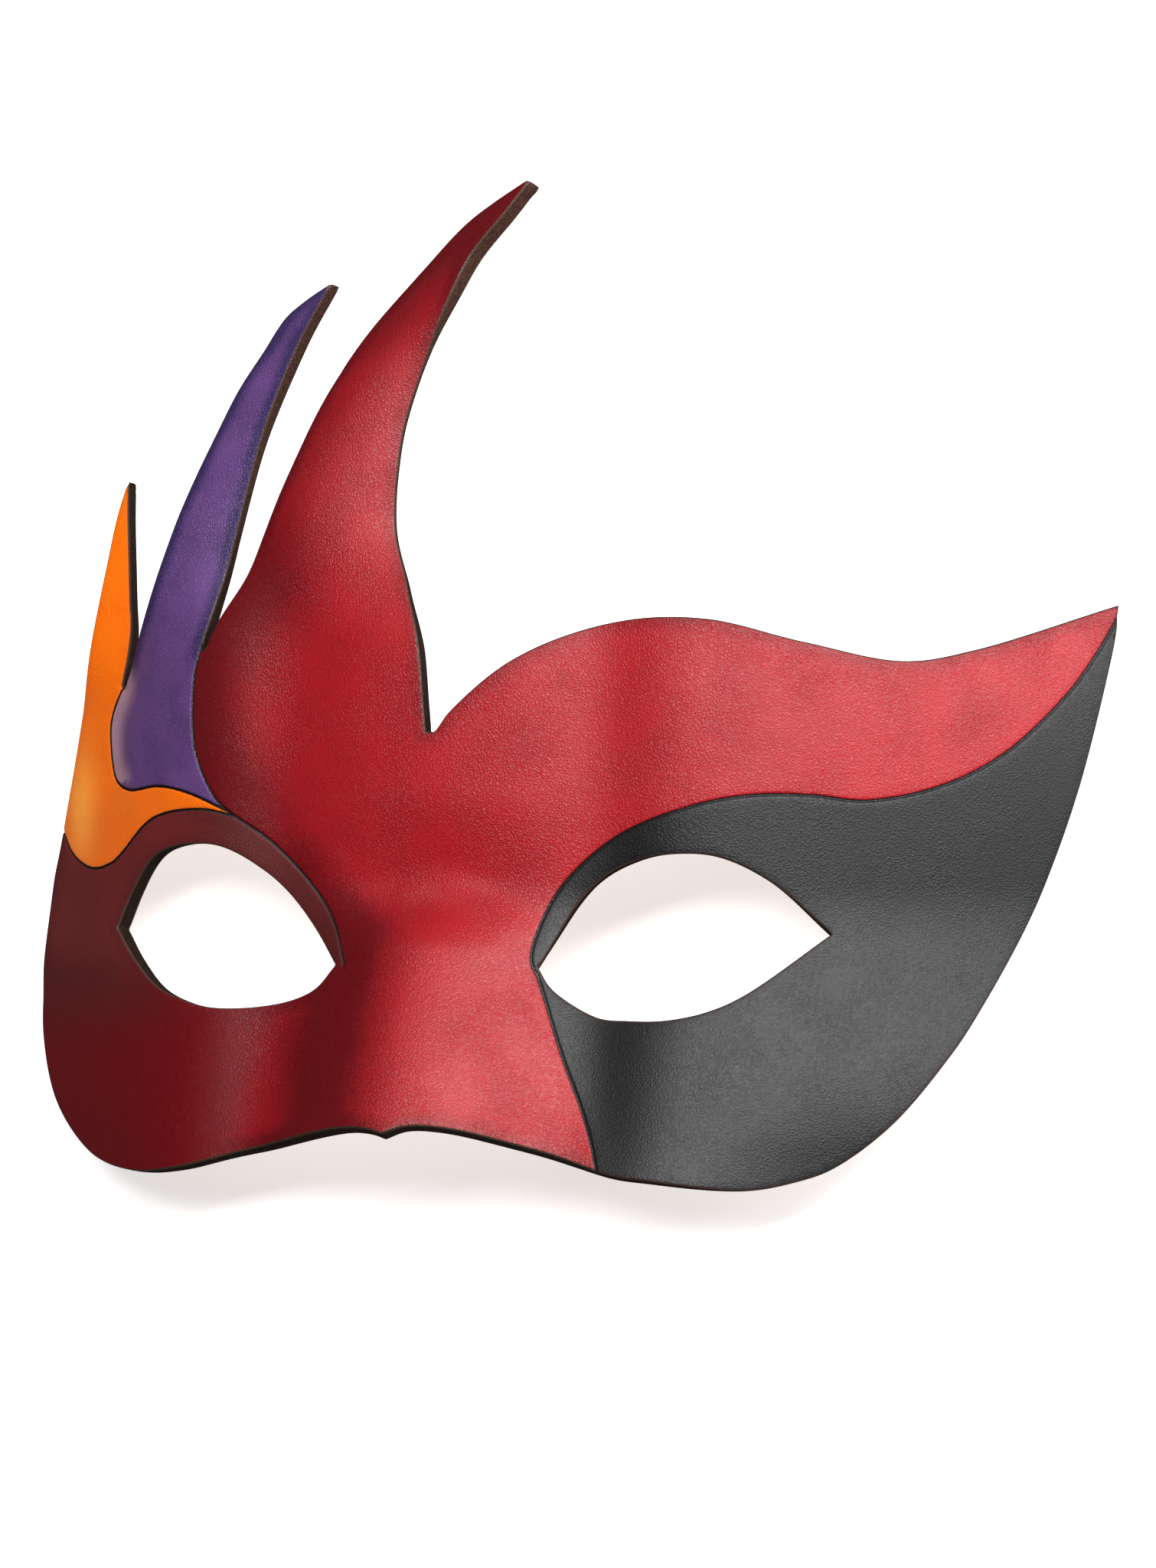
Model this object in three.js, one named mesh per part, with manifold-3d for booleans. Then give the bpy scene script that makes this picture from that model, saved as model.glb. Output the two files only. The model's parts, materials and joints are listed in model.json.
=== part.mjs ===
// A half mask of wet-formed leather: one hide, cut to a pattern with three swept horns on one
// side and a pointed wing on the other, pressed over a face form while damp.
//
// The pattern is drawn from the front, in the face's own directions: X to the viewer's right,
// Y up the face and the hide's depth towards the viewer. Zero is midway between the inner
// corners of the eyes. The finished mask then lies on its back with its hollow side down.
// All sizes are in millimetres.

import * as THREE from 'three';
import Module from 'manifold-3d';
import { mergeVertices } from 'three/addons/utils/BufferGeometryUtils.js';

const LEATHER = 2.8;
// How closely the cut edge and the field inside it are divided into facets, how far the field
// keeps from the edge, and the small step that measures a slope.
const OUTLINE_STEP = 2.3;
const FIELD_STEP = 3.7;
const EDGE_CLEAR = 0.62 * FIELD_STEP;
const SLOPE_STEP = 0.04;

// Where the face turns back to the temples, and how fast.
const CHEEKBONE_X = 42;
const CHEEKBONE_SOFT = 5;
const TEMPLE_SLOPE = 0.38;
const TEMPLE_CURVE_X = 46;
const TEMPLE_CURVE = 0.0045;
const TEMPLE_CURVE_SOFT = 4;
// The dip beside the nose, under the eyes and over them.
const SOCKET_X = 29;
const SOCKET_WIDTH = 9;
const SOCKET_DEPTH = 1.8;
// The cheeks come forward below the eyes, and the lower edge flares, most in the middle.
const CHEEK_RISE = 8.2;
const CHEEK_TOP = 13;
const CHEEK_DROP = 42;
const FLARE_Y = -24;
const FLARE_SLOPE = 0.36;
const FLARE_SOFT = 2.5;
const FLARE_FULL_X = 30;
const FLARE_FADE = 45;
// The nose: a rounded ridge that starts under the brow with a short step, and then rises and
// widens gently downwards.
const NOSE_RISE = 13.5;
const NOSE_TOP = 14;
const NOSE_FULL = -28;
const NOSE_STEP = 0.45;
const NOSE_STEP_HEIGHT = 12;
const NOSE_TOP_SOFT = 2;
const NOSE_CREST_RADIUS = 8.5;
const NOSE_HALF_WIDTH = 15;
const NOSE_FOOT_SOFT = 0.14;
const NOSE_WIDENING = 0.16;
const NOSE_WIDENS_Y = 8;
const NOSE_WIDENING_SOFT = 3;
const BROW_RISE = 3;
const BROW_HALF_WIDTH = 22;
const BROW_Y = 9;
const BROW_FADE = 20;
// Above the brow the hide leans back.
const LEAN_Y = 52;
const LEAN_SLOPE = 0.16;
const LEAN_SOFT = 6;
// The wing sweeps back a little more towards its point, which is what the mask lies on.
const SWEEP = 2.6;
const SWEEP_Y = 20;
const SWEEP_HEIGHT = 39;
const SWEEP_X = 50;
const SWEEP_WIDTH = 50;
// A shallow pressed channel where the middle horn's root meets the outer one's, wider on the
// outer side, and the heights between which it runs.
const CHANNEL_DEPTH = 1.4;
const CHANNEL_RIGHT = 4;
const CHANNEL_LEFT = 7;
const CHANNEL_FOOT_Y = 22;
const CHANNEL_HEAD_Y = 60;
const CHANNEL_FADE = 12;

// Each horn: the heights of its foot and tip, between which heights it leaves the face, the X
// of its middle line from foot to tip as start, slope and bend, its half width at foot and
// tip, its depth at the foot, how it leans back, how far its tip twists to show its cut edge
// and from what share of its height, how far it bows forward and where across it the crest runs.
const RED_HORN = {
  foot: 52, tip: 129, leaves: [52, 78], middle: [-23, -1, 34], half: [19, 1.5], taper: 1,
  depth: 0.5, lean: 0.12, twist: 0.5, twistFrom: 0.55, bow: 3.2, crestAt: 0.36, farBow: 1.8,
};
const PURPLE_HORN = {
  foot: 50, tip: 114, leaves: [48, 70], middle: [-55.5, 22, 7], half: [9, 1.8], taper: 2,
  depth: -6.5, lean: 0.08, twist: 0.18, twistFrom: 0.5, bow: 1.6, crestAt: 0.6, farBow: 0.4,
};
const ORANGE_HORN = {
  foot: 44, tip: 82, leaves: [42, 60], middle: [-72.5, 6.5, 0], half: [7, 0.6], taper: 1,
  depth: -14.5, lean: 0.1, twist: 0.06, twistFrom: 0, bow: 0.3, crestAt: 0.5, farBow: 1,
};
// A twist comes in over this share of the height and leaves this share of the bow.
const TWIST_SPAN = 0.3;
const TWISTED_BOW = 0.2;
// Limits that keep the form steady outside the horn: shares of its height from its foot, the
// least half width and the most half widths across.
const SHARE_LEAST = -0.4;
const SHARE_MOST = 1.1;
const HALF_LEAST = 1;
const ACROSS_MOST = 1.4;
// The notch beside the red horn: right of it the hide is the wing's, which the horn's form
// only reaches above its own root.
const WING_ROOT_X = 1.5;
const WING_ROOT_END_X = 16;
const WING_ROOT_Y = 64;
const WING_ROOT_FADE = 8;
// The two cuts between the horns, as [height, X] from the bottom up.
const OUTER_CUT = [[30, -67.7], [42, -66.4], [48, -63.9], [56, -60.9], [70, -59], [82, -57]];
const INNER_CUT = [[50, -46.6], [57, -43.4], [75, -38], [90, -31.5], [114, -20]];

// The cut edge, run by run, each a smooth curve from one corner to the next.
const RED_HORN_RIGHT = [
  [12.9, 129.4], [9, 124.5], [3, 117.7], [-0.1, 111.6], [-7.8, 92.9], [-9.7, 83.7], [-9.9, 72.1],
  [-6.4, 62.6], [-3, 53.9], [-1.5, 42.5], [-1.1, 38.4],
];
const WING_TOP = [
  [-1.1, 38.4], [0.3, 38.3], [3, 41.5], [13.8, 50.1], [29.2, 56], [46.1, 56.7], [61.2, 52.9],
  [75.5, 49.8], [85.1, 51.7], [103.7, 59.2],
];
const RIGHT_RIM = [
  [103.7, 59.2], [103.6, 53.4], [100, 31.2], [95.1, 13.5], [87.8, -6], [84.1, -14], [76.7, -25.2],
  [68.5, -32.3], [63.6, -34.3], [56.6, -35.6], [41.5, -34.1], [34.1, -33.1], [23.4, -29.5],
  [11, -26], [4.3, -25.5], [0.3, -26.7],
];
const LEFT_RIM = [
  [0.3, -26.7], [-2.6, -26.1], [-8.3, -26.1], [-29.7, -30.5], [-44.3, -34], [-55.3, -35],
  [-66.5, -32.8], [-76.7, -24.8], [-83.1, -13.3], [-84.8, -6.8], [-86.1, -0.3], [-85, 11.7],
  [-82.1, 20.3], [-75.9, 42.1], [-71.4, 65.8], [-69.6, 75.4], [-68.1, 80.6],
];
const ORANGE_TIP = [[-68.1, 80.6], [-67.5, 81.6]];
const ORANGE_RIGHT = [
  [-67.5, 81.6], [-67.1, 75], [-66.4, 67], [-65.8, 60.4], [-65.2, 56], [-65.2, 51], [-65.9, 46],
];
const PURPLE_LEFT = [
  [-65.9, 46], [-65.2, 46.1], [-63.2, 49.8], [-61.6, 53.9], [-58, 62.8], [-53.2, 76.1],
  [-46.7, 89.7], [-43.1, 96.5], [-38.7, 102.6], [-34.4, 108.5], [-30.8, 111.1], [-25.9, 113.8],
];
const PURPLE_TIP = [[-25.9, 113.8], [-25.3, 113.8]];
const PURPLE_RIGHT = [
  [-25.3, 113.8], [-30.8, 104.3], [-36.9, 89.5], [-41.8, 71], [-43.4, 63.9], [-45.9, 52.4],
];
const RED_HORN_LEFT = [
  [-45.9, 52.4], [-45.2, 52.1], [-42.3, 57.2], [-37.1, 64.8], [-34.4, 71.3], [-31.9, 77.9],
  [-29.2, 84.2], [-24.8, 93.8], [-17.2, 105.9], [-6.3, 117.5], [0.7, 123.6], [12.1, 129.6],
];
const RED_TIP = [[12.1, 129.6], [12.9, 129.4]];
const RUNS = [
  RED_HORN_RIGHT, WING_TOP, RIGHT_RIM, LEFT_RIM, ORANGE_TIP, ORANGE_RIGHT,
  PURPLE_LEFT, PURPLE_TIP, PURPLE_RIGHT, RED_HORN_LEFT, RED_TIP,
];

// The eye holes, each an upper and a lower lid between two sharp corners. They were cut by
// hand, so the left lids are a little rounder than the right ones.
const RIGHT_UPPER_LID = [
  [19.6, -0.2], [24.4, 9.9], [29.1, 14.6], [35, 17.3], [41.5, 18.4], [48.6, 17.9], [56.2, 14.2],
  [65.8, 5.4],
];
const RIGHT_LOWER_LID = [
  [65.8, 5.4], [53.7, -4.4], [48.4, -7], [42.1, -8.4], [35.4, -8.6], [29.4, -8.1], [22.2, -3.8],
  [19.6, -0.2],
];
const LEFT_UPPER_LID = [
  [-16.7, -0.1], [-22.2, 5.2], [-32.3, 14.7], [-41, 19.2], [-49.3, 19.5], [-56.2, 17.4],
  [-61.7, 11.4], [-65.2, 5.3],
];
const LEFT_LOWER_LID = [
  [-65.2, 5.3], [-60.3, 0.6], [-53.6, -4.1], [-46.3, -6.5], [-40.6, -7.5], [-31.9, -7.2],
  [-24.4, -5.6], [-20.2, -3.7], [-16.7, -0.1],
];

// How the mask lies: turned by these angles it rests on its temple, the point of its wing and
// the rim below the wing, each with a small flat worn on it.
const REST_PITCH_DEG = 14.1;
const REST_ROLL_DEG = -1.67;
const REST_FLAT = 0.5;
// The block below the ground that cuts the flats.
const GROUND_WIDTH = 400;
const GROUND_DEPTH = 20;
// Corners closer than this are one corner.
const MERGE_GAP = 1e-4;

function soft(t, width) {
  // rises from nothing to a straight slope, without a corner
  return width * (Math.max(t / width, 0) + Math.log1p(Math.exp(-Math.abs(t / width))));
}

function ease(t) {
  const u = Math.min(Math.max(t, 0), 1);
  return u * u * (3 - 2 * u);
}

function along(rows, height) {
  // the X of a cut at a height
  if (height <= rows[0][0]) return rows[0][1];
  for (let i = 1; i < rows.length; i += 1) {
    const [y0, x0] = rows[i - 1];
    const [y1, x1] = rows[i];
    if (height <= y1) return x0 + (x1 - x0) * (height - y0) / (y1 - y0);
  }
  return rows[rows.length - 1][1];
}

function hornDepth(horn, x, y) {
  const share = (y - horn.foot) / (horn.tip - horn.foot);
  const u = Math.min(Math.max(share, SHARE_LEAST), SHARE_MOST);
  const middle = horn.middle[0] + horn.middle[1] * u + horn.middle[2] * u * u;
  const shrink = Math.sign(u) * Math.abs(u) ** horn.taper;
  const half = Math.max(horn.half[0] + (horn.half[1] - horn.half[0]) * shrink, HALF_LEAST);
  const crest = middle + (2 * horn.crestAt - 1) * half;
  const nearSide = x < crest;
  const reach = nearSide ? 2 * horn.crestAt * half : 2 * (1 - horn.crestAt) * half;
  const across = Math.min(Math.abs(x - crest) / reach, ACROSS_MOST);
  const twisted = ease((u - horn.twistFrom) / TWIST_SPAN);
  const bow = horn.bow * (nearSide ? 1 : horn.farBow) * across * across * half / horn.half[0]
    * (1 - (1 - TWISTED_BOW) * twisted);
  return horn.depth - horn.lean * (y - horn.foot) - bow + horn.twist * twisted * (x - middle);
}

function faceDepth(x, y) {
  const out = Math.sqrt(x * x + 1);
  const temple = TEMPLE_SLOPE * soft(out - CHEEKBONE_X, CHEEKBONE_SOFT)
    + TEMPLE_CURVE * soft(out - TEMPLE_CURVE_X, TEMPLE_CURVE_SOFT) ** 2;
  const socket = SOCKET_DEPTH * Math.exp(-(((out - SOCKET_X) / SOCKET_WIDTH) ** 2));
  const cheek = CHEEK_RISE * ease((CHEEK_TOP - y) / CHEEK_DROP);
  const flare = FLARE_SLOPE * soft(FLARE_Y - y, FLARE_SOFT)
    * (1 - ease((out - FLARE_FULL_X) / FLARE_FADE));
  const noseWidth = NOSE_HALF_WIDTH + NOSE_WIDENING * soft(NOSE_WIDENS_Y - y, NOSE_WIDENING_SOFT);
  const offCrest = Math.sqrt(x * x + NOSE_CREST_RADIUS ** 2) - NOSE_CREST_RADIUS;
  const step = NOSE_STEP * ease((NOSE_TOP - y) / NOSE_STEP_HEIGHT);
  const ramp = (1 - NOSE_STEP) * soft(NOSE_TOP - y, NOSE_TOP_SOFT) / (NOSE_TOP - NOSE_FULL);
  const nose = NOSE_RISE * (step + ramp) * soft(1 - offCrest / noseWidth, NOSE_FOOT_SOFT);
  const brow = BROW_RISE * Math.exp(-((out / BROW_HALF_WIDTH) ** 2))
    * ease((y - BROW_Y) / BROW_FADE);
  const lean = LEAN_SLOPE * soft(y - LEAN_Y, LEAN_SOFT);
  const sweep = SWEEP * (Math.max(y - SWEEP_Y, 0) / SWEEP_HEIGHT) ** 2
    * ease((x - SWEEP_X) / SWEEP_WIDTH);
  const fromCut = x - along(OUTER_CUT, y);
  const channel = CHANNEL_DEPTH
    * Math.exp(-((fromCut / (fromCut > 0 ? CHANNEL_RIGHT : CHANNEL_LEFT)) ** 2))
    * ease((y - CHANNEL_FOOT_Y) / CHANNEL_FADE) * (1 - ease((y - CHANNEL_HEAD_Y) / CHANNEL_FADE));
  return nose + brow + cheek + flare - temple - socket - lean - sweep - channel;
}

function regionOf(x, y) {
  // which horn a point belongs to, and the wing is a region of its own
  if (x > WING_ROOT_X) return 'wing';
  if (x < along(OUTER_CUT, y)) return 'orange';
  return x < along(INNER_CUT, y) ? 'purple' : 'red';
}

const HORN_OF = { red: RED_HORN, purple: PURPLE_HORN, orange: ORANGE_HORN, wing: RED_HORN };

function depth(x, y, region) {
  // each horn parts from the face above its own foot
  const horn = HORN_OF[region];
  const [start, end] = horn.leaves;
  let part = ease((y - start) / (end - start));
  if (region === 'wing') {
    part *= x > WING_ROOT_END_X ? 0 : ease((y - WING_ROOT_Y) / WING_ROOT_FADE);
  }
  const face = faceDepth(x, y);
  return part > 0 ? face * (1 - part) + hornDepth(horn, x, y) * part : face;
}

function frontPoint(x, y) {
  return new THREE.Vector3(x, y, depth(x, y, regionOf(x, y)));
}

function frontNormal(x, y) {
  // slopes are measured on the point's own horn, never over a cut to the next one
  const region = regionOf(x, y);
  const h = SLOPE_STEP;
  const dx = (depth(x + h, y, region) - depth(x - h, y, region)) / (2 * h);
  const dy = (depth(x, y + h, region) - depth(x, y - h, region)) / (2 * h);
  return new THREE.Vector3(-dx, -dy, 1).normalize();
}

function smoothRun(points) {
  // a curve through the points, sampled evenly
  const knots = points.map(([x, y]) => new THREE.Vector3(x, y, 0));
  const curve = new THREE.CatmullRomCurve3(knots, false, 'centripetal');
  const count = Math.max(1, Math.round(curve.getLength() / OUTLINE_STEP));
  return curve.getSpacedPoints(count).map((p) => [p.x, p.y]);
}

function loopOf(runs) {
  const loop = [];
  for (const run of runs) {
    loop.push(...smoothRun(run).slice(0, -1));
  }
  return loop;
}

function insideLoop(loop, x, y) {
  let inside = false;
  for (let i = 0, j = loop.length - 1; i < loop.length; j = i, i += 1) {
    const [ax, ay] = loop[i];
    const [bx, by] = loop[j];
    if ((ay > y) !== (by > y) && x < ax + (bx - ax) * (y - ay) / (by - ay)) inside = !inside;
  }
  return inside;
}

function insideHide(loops, x, y) {
  return insideLoop(loops[0], x, y) && !insideLoop(loops[1], x, y) && !insideLoop(loops[2], x, y);
}

function fieldPoints(loops) {
  // a field of equal triangles, kept clear of the cut edges
  const edge = loops.flat();
  const box = new THREE.Box2().setFromPoints(edge.map(([x, y]) => new THREE.Vector2(x, y)));
  const field = [];
  const rise = FIELD_STEP * Math.sqrt(3) / 2;
  let row = 0;
  for (let { y } = box.min; y < box.max.y; y += rise) {
    for (let x = box.min.x + (row % 2) * FIELD_STEP / 2; x < box.max.x; x += FIELD_STEP) {
      const near = edge.some(([ex, ey]) => Math.hypot(ex - x, ey - y) < EDGE_CLEAR);
      if (!near && insideHide(loops, x, y)) field.push([x, y]);
    }
    row += 1;
  }
  return field;
}

function circleThrough(points, a, b, c) {
  const [ax, ay] = points[a];
  const bx = points[b][0] - ax;
  const by = points[b][1] - ay;
  const cx = points[c][0] - ax;
  const cy = points[c][1] - ay;
  const twice = 2 * (bx * cy - by * cx);
  const ux = (cy * (bx * bx + by * by) - by * (cx * cx + cy * cy)) / twice;
  const uy = (bx * (cx * cx + cy * cy) - cx * (bx * bx + by * by)) / twice;
  return { a, b, c, x: ax + ux, y: ay + uy, rr: ux * ux + uy * uy };
}

function triangulate(given) {
  // starts from one triangle far round all the points, adds them one by one, and keeps every
  // triangle's circle empty
  const n = given.length;
  const far = 40 * Math.max(...given.flat().map(Math.abs));
  const points = [...given, [-far, -far], [far, -far], [0, far]];
  let triangles = [circleThrough(points, n, n + 1, n + 2)];
  for (let i = 0; i < n; i += 1) {
    const [x, y] = points[i];
    const kept = [];
    const rim = new Map();
    for (const t of triangles) {
      if ((x - t.x) ** 2 + (y - t.y) ** 2 >= t.rr) {
        kept.push(t);
      } else {
        for (const [p, q] of [[t.a, t.b], [t.b, t.c], [t.c, t.a]]) {
          if (!rim.delete(`${q},${p}`)) rim.set(`${p},${q}`, [p, q]);
        }
      }
    }
    for (const [p, q] of rim.values()) kept.push(circleThrough(points, p, q, i));
    triangles = kept;
  }
  return triangles.filter((t) => t.a < n && t.b < n && t.c < n);
}

function missingEdges(loops, triangles) {
  const known = new Set();
  for (const t of triangles) {
    for (const [p, q] of [[t.a, t.b], [t.b, t.c], [t.c, t.a]]) {
      known.add(p < q ? `${p},${q}` : `${q},${p}`);
    }
  }
  const missing = [];
  let first = 0;
  loops.forEach((loop, which) => {
    loop.forEach((_, i) => {
      const p = first + i;
      const q = first + (i + 1) % loop.length;
      if (!known.has(p < q ? `${p},${q}` : `${q},${p}`)) missing.push([which, i]);
    });
    first += loop.length;
  });
  return missing;
}

function halveEdges(loops, missing) {
  for (const [which, i] of [...missing].reverse()) {
    const loop = loops[which];
    const [ax, ay] = loop[i];
    const [bx, by] = loop[(i + 1) % loop.length];
    loop.splice(i + 1, 0, [(ax + bx) / 2, (ay + by) / 2]);
  }
}

function meshPattern() {
  // the flat pattern as triangles whose sides follow every cut edge
  const loops = [
    loopOf(RUNS),
    loopOf([RIGHT_UPPER_LID, RIGHT_LOWER_LID]),
    loopOf([LEFT_UPPER_LID, LEFT_LOWER_LID]),
  ];
  const field = fieldPoints(loops);
  let points = [...loops.flat(), ...field];
  let triangles = triangulate(points);
  let missing = missingEdges(loops, triangles);
  while (missing.length > 0) {
    halveEdges(loops, missing);
    points = [...loops.flat(), ...field];
    triangles = triangulate(points);
    missing = missingEdges(loops, triangles);
  }
  const filled = triangles.filter((t) => {
    const x = (points[t.a][0] + points[t.b][0] + points[t.c][0]) / 3;
    const y = (points[t.a][1] + points[t.b][1] + points[t.c][1]) / 3;
    return insideHide(loops, x, y);
  });
  return { loops, points, filled };
}

function facesUp(points, t) {
  const [ax, ay] = points[t.a];
  const [bx, by] = points[t.b];
  const [cx, cy] = points[t.c];
  return (bx - ax) * (cy - ay) - (by - ay) * (cx - ax) > 0;
}

function hideGeometry() {
  const { loops, points, filled } = meshPattern();
  const count = points.length;
  const front = points.map(([x, y]) => frontPoint(x, y));
  const back = points.map(([x, y], i) => front[i].clone().addScaledVector(frontNormal(x, y), -LEATHER));
  const index = [];
  const walls = new Map();
  for (const t of filled) {
    const [a, b, c] = facesUp(points, t) ? [t.a, t.b, t.c] : [t.a, t.c, t.b];
    index.push(a, b, c, a + count, c + count, b + count);
    for (const [p, q] of [[a, b], [b, c], [c, a]]) {
      if (!walls.delete(`${q},${p}`)) walls.set(`${p},${q}`, [p, q]);
    }
  }
  for (const [p, q] of walls.values()) {
    index.push(p, p + count, q + count, p, q + count, q);
  }
  const geometry = new THREE.BufferGeometry();
  const positions = [...front, ...back].flatMap((v) => [v.x, v.y, v.z]);
  geometry.setAttribute('position', new THREE.Float32BufferAttribute(positions, 3));
  geometry.setIndex(index);
  return geometry;
}

function layDown(geometry) {
  // turn the mask to the way it lies, sink it by the worn flats and centre it on its box
  geometry.rotateX(THREE.MathUtils.degToRad(REST_PITCH_DEG));
  geometry.rotateY(THREE.MathUtils.degToRad(REST_ROLL_DEG));
  geometry.computeBoundingBox();
  const box = geometry.boundingBox;
  geometry.translate(-(box.min.x + box.max.x) / 2, -(box.min.y + box.max.y) / 2, -box.min.z - REST_FLAT);
  return geometry;
}

const wasm = await Module();
wasm.setup();

function toSolid(geometry) {
  const bare = geometry.clone();
  bare.deleteAttribute('normal');
  bare.deleteAttribute('uv');
  const merged = mergeVertices(bare, MERGE_GAP);
  return new wasm.Manifold(new wasm.Mesh({
    numProp: 3,
    vertProperties: new Float32Array(merged.attributes.position.array),
    triVerts: new Uint32Array(merged.index.array),
  }));
}

function toGeometry(solid) {
  const mesh = solid.getMesh();
  const geometry = new THREE.BufferGeometry();
  geometry.setAttribute('position', new THREE.BufferAttribute(mesh.vertProperties, 3));
  geometry.setIndex(new THREE.BufferAttribute(mesh.triVerts, 1));
  geometry.computeVertexNormals();
  return geometry;
}

const hide = layDown(hideGeometry());
const below = new THREE.BoxGeometry(GROUND_WIDTH, GROUND_WIDTH, GROUND_DEPTH);
below.translate(0, 0, -GROUND_DEPTH / 2);
const resting = toSolid(hide).subtract(toSolid(below));

const leather = new THREE.MeshStandardMaterial({ color: 0xa8323c, roughness: 0.5, metalness: 0 });
const mask = new THREE.Mesh(toGeometry(resting), leather);
mask.name = 'leather_mask';

const group = new THREE.Group();
group.add(mask);

export default group;
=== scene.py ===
# %% [markdown]
# A half mask of wet-formed leather. The real one is a single hide, about 3 mm thick, cut to a
# pattern, pressed damp over a face form, dyed in zones along incised lines and burnished on its
# cut edges. The construction already gives its size and place, so this lesson dresses it: the same
# form as a fine mesh, with rounded edges and cut grooves, and then the dyes, the grain and the light.

# %% Load the frame
import json
import math

import bpy
import numpy as np
from mathutils import Matrix, Vector
from mathutils.geometry import delaunay_2d_cdt

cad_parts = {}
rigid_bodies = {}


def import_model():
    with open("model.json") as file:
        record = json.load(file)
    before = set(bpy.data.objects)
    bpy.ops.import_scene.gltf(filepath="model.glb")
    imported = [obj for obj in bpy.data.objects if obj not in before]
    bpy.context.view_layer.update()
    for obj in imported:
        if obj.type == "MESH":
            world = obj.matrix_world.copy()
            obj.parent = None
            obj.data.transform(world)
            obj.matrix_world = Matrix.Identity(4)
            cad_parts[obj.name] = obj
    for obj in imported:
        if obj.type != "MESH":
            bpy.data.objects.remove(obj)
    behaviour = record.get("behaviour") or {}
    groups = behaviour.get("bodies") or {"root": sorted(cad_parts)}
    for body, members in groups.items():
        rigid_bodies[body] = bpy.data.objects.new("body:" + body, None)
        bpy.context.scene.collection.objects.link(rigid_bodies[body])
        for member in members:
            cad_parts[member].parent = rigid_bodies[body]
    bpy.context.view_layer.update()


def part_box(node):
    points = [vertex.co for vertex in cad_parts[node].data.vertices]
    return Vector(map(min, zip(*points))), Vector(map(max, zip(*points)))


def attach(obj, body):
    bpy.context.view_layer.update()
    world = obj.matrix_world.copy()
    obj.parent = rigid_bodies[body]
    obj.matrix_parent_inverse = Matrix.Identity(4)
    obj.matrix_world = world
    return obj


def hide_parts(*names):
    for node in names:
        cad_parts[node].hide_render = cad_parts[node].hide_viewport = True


for thing in list(bpy.data.objects):
    bpy.data.objects.remove(thing)
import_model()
MM = 0.001

# %% [markdown]
# The form of the hide is a depth drawn over the face: X to the viewer's right, Y up the face, and a
# height towards the viewer. Modelling it by hand with a sculpt brush would never meet the solid that
# the part is made of, so the face is built from the same few sizes: a plane that turns back at the
# cheekbones, a nose ridge, a brow, and three horns that each bow forward. The sizes below say where
# each form starts, how far it comes forward or back, and over what distance it fades.

# %% The face's sizes, in millimetres
LEATHER = 2.8
# the sides of the face, the dip beside the nose, the cheek and the flare of the lower edge
CHEEKBONE_X, CHEEKBONE_SOFT, TEMPLE_SLOPE = 42, 5, 0.38
TEMPLE_CURVE_X, TEMPLE_CURVE, TEMPLE_CURVE_SOFT = 46, 0.0045, 4
SOCKET_X, SOCKET_WIDTH, SOCKET_DEPTH = 29, 9, 1.8
CHEEK_RISE, CHEEK_TOP, CHEEK_DROP = 8.2, 13, 42
FLARE_Y, FLARE_SLOPE, FLARE_SOFT = -24, 0.36, 2.5
FLARE_FULL_X, FLARE_FADE = 30, 45
# the nose: a short step under the brow, and then a ridge that rises and widens downwards
NOSE_RISE, NOSE_TOP, NOSE_FULL = 13.5, 14, -28
NOSE_STEP, NOSE_STEP_HEIGHT, NOSE_TOP_SOFT = 0.45, 12, 2
NOSE_CREST_RADIUS, NOSE_HALF_WIDTH, NOSE_FOOT_SOFT = 8.5, 15, 0.14
NOSE_WIDENING, NOSE_WIDENS_Y, NOSE_WIDENING_SOFT = 0.16, 8, 3
# the brow, the lean of the hide above it and the wing's sweep towards its point
BROW_RISE, BROW_HALF_WIDTH, BROW_Y, BROW_FADE = 3, 22, 9, 20
LEAN_Y, LEAN_SLOPE, LEAN_SOFT = 52, 0.16, 6
SWEEP, SWEEP_Y, SWEEP_HEIGHT, SWEEP_X, SWEEP_WIDTH = 2.6, 20, 39, 50, 50
# the channel pressed in where the middle horn's root meets the outer one's
CHANNEL_DEPTH, CHANNEL_RIGHT, CHANNEL_LEFT = 1.4, 4, 7
CHANNEL_FOOT_Y, CHANNEL_HEAD_Y, CHANNEL_FADE = 22, 60, 12
# limits of the horns' own form, how their tips twist, and the wing's root beside the tallest horn
SHARE_LEAST, SHARE_MOST, HALF_LEAST, ACROSS_MOST = -0.4, 1.1, 1, 1.4
TWIST_SPAN, TWISTED_BOW = 0.3, 0.2
WING_ROOT_X, WING_ROOT_END_X, WING_ROOT_Y, WING_ROOT_FADE = 1.5, 16, 64, 8

# Each horn: the heights of its foot and tip, between which heights it leaves the face, the X of its
# middle line as start, slope and bend, its half width at foot and tip, its depth at the foot, its lean,
# the twist of its tip and where that starts, its bow and where across it the crest runs.
RED_HORN = dict(foot=52, tip=129, leaves=(52, 78), middle=(-23, -1, 34), half=(19, 1.5), taper=1,
                depth=0.5, lean=0.12, twist=0.5, twist_from=0.55, bow=3.2, crest_at=0.36, far_bow=1.8)
PURPLE_HORN = dict(foot=50, tip=114, leaves=(48, 70), middle=(-55.5, 22, 7), half=(9, 1.8), taper=2,
                   depth=-6.5, lean=0.08, twist=0.18, twist_from=0.5, bow=1.6, crest_at=0.6, far_bow=0.4)
ORANGE_HORN = dict(foot=44, tip=82, leaves=(42, 60), middle=(-72.5, 6.5, 0), half=(7, 0.6), taper=1,
                   depth=-14.5, lean=0.1, twist=0.06, twist_from=0, bow=0.3, crest_at=0.5, far_bow=1)
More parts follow.
